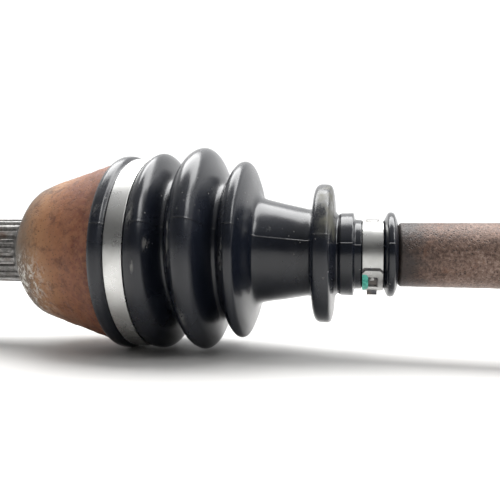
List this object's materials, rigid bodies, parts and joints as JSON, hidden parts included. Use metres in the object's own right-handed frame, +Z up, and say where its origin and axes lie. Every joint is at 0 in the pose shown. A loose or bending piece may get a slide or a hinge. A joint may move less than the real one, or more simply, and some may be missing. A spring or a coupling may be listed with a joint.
{
  "type": "cv axle",
  "caption": "Front drive half-shaft: ball joint bell with splined stub, ribbed rubber boots with clamps, bar and sliding tripod joint.",
  "frame": {"origin": "on the axle's axis at the flat bearing shoulder of the wheel-side bell", "axes": "+X along the axle from the wheel to the gearbox, +Z up; -Y is the side that faces the viewer, with the small clamps' buckles"},
  "size_m": [0.614, 0.0755, 0.0742],
  "materials": {
    "forged_steel": "rough rusty forging",
    "rusty_bar": "weathered bare steel bar with rust",
    "bright_steel": "smooth clamp strip",
    "hardened_steel": "ground and hardened",
    "spring_steel": "dark spring steel",
    "boot_rubber": "black moulded rubber with dust",
    "bushing_plastic": "moulded plastic"
  },
  "bodies": {
    "shaft": {"shaft_bar": "rusty_bar", "outboard_inner_race": "hardened_steel", "outboard_race_circlip": "spring_steel", "outboard_boot": "boot_rubber", "outboard_small_clamp": "bright_steel", "tripod_spider": "hardened_steel", "spider_circlip": "spring_steel", "inboard_boot": "boot_rubber", "inboard_small_clamp": "bright_steel", "needle_set_b": "hardened_steel", "needle_washer_b": "spring_steel", "roller_ring_b": "spring_steel", "needle_set_c": "hardened_steel", "needle_washer_c": "spring_steel", "roller_ring_c": "spring_steel"},
    "wheel_bell": {"outboard_bell": "forged_steel", "outboard_large_clamp": "bright_steel"},
    "ball_cage": {"outboard_cage": "hardened_steel", "outboard_ball_1": "hardened_steel", "outboard_ball_2": "hardened_steel", "outboard_ball_3": "hardened_steel", "outboard_ball_4": "hardened_steel", "outboard_ball_5": "hardened_steel", "outboard_ball_6": "hardened_steel"},
    "trunnion_bearing_a": {"needle_set_a": "hardened_steel", "needle_washer_a": "spring_steel", "roller_ring_a": "spring_steel"},
    "gearbox_housing": {"inboard_housing": "forged_steel", "housing_stop_ring": "spring_steel", "stub_circlip": "spring_steel", "inboard_bushing": "bushing_plastic", "inboard_large_clamp": "bright_steel"},
    "roller_a": {"tripod_roller_a": "hardened_steel"},
    "roller_b": {"tripod_roller_b": "hardened_steel"},
    "roller_c": {"tripod_roller_c": "hardened_steel"}
  },
  "joints": [
    {"name": "outboard_bend", "type": "hinge", "parent": "shaft", "child": "wheel_bell", "pos_m": [0.037, 0, 0], "axis": [0, 1, 0], "range_deg": [-43, 43], "deforming": ["outboard_boot"]},
    {"name": "cage_turn", "type": "hinge", "parent": "shaft", "child": "ball_cage", "pos_m": [0.037, 0, 0], "axis": [0, 1, 0], "range_deg": [-22, 22]},
    {"name": "inboard_bend", "type": "hinge", "parent": "shaft", "child": "trunnion_bearing_a", "pos_m": [0.47, 0, 0], "axis": [0, 1, 0], "range_deg": [-16, 16], "deforming": ["inboard_boot"]},
    {"name": "plunge", "type": "slide", "parent": "trunnion_bearing_a", "child": "gearbox_housing", "axis": [1, 0, 0], "range_m": [-0.012, 0.012], "deforming": ["inboard_boot"]},
    {"name": "roller_a_spin", "type": "hinge", "parent": "trunnion_bearing_a", "child": "roller_a", "pos_m": [0.47, 0.0168, 0], "axis": [0, 1, 0], "range_deg": [-56, 56]},
    {"name": "roller_b_spin", "type": "hinge", "parent": "shaft", "child": "roller_b", "pos_m": [0.47, -0.0084, 0.01455], "axis": [0, -0.5, 0.866], "range_deg": [-56, 56]},
    {"name": "roller_c_spin", "type": "hinge", "parent": "shaft", "child": "roller_c", "pos_m": [0.47, -0.0084, -0.01455], "axis": [0, -0.5, -0.866], "range_deg": [-56, 56]}
  ],
  "couplings": [
    {"joint": "cage_turn", "follows": "outboard_bend", "ratio": 0.5},
    {"joint": "roller_a_spin", "follows": "plunge", "rad_per_m": 80},
    {"joint": "roller_b_spin", "follows": "plunge", "rad_per_m": 80},
    {"joint": "roller_c_spin", "follows": "plunge", "rad_per_m": 80}
  ]
}
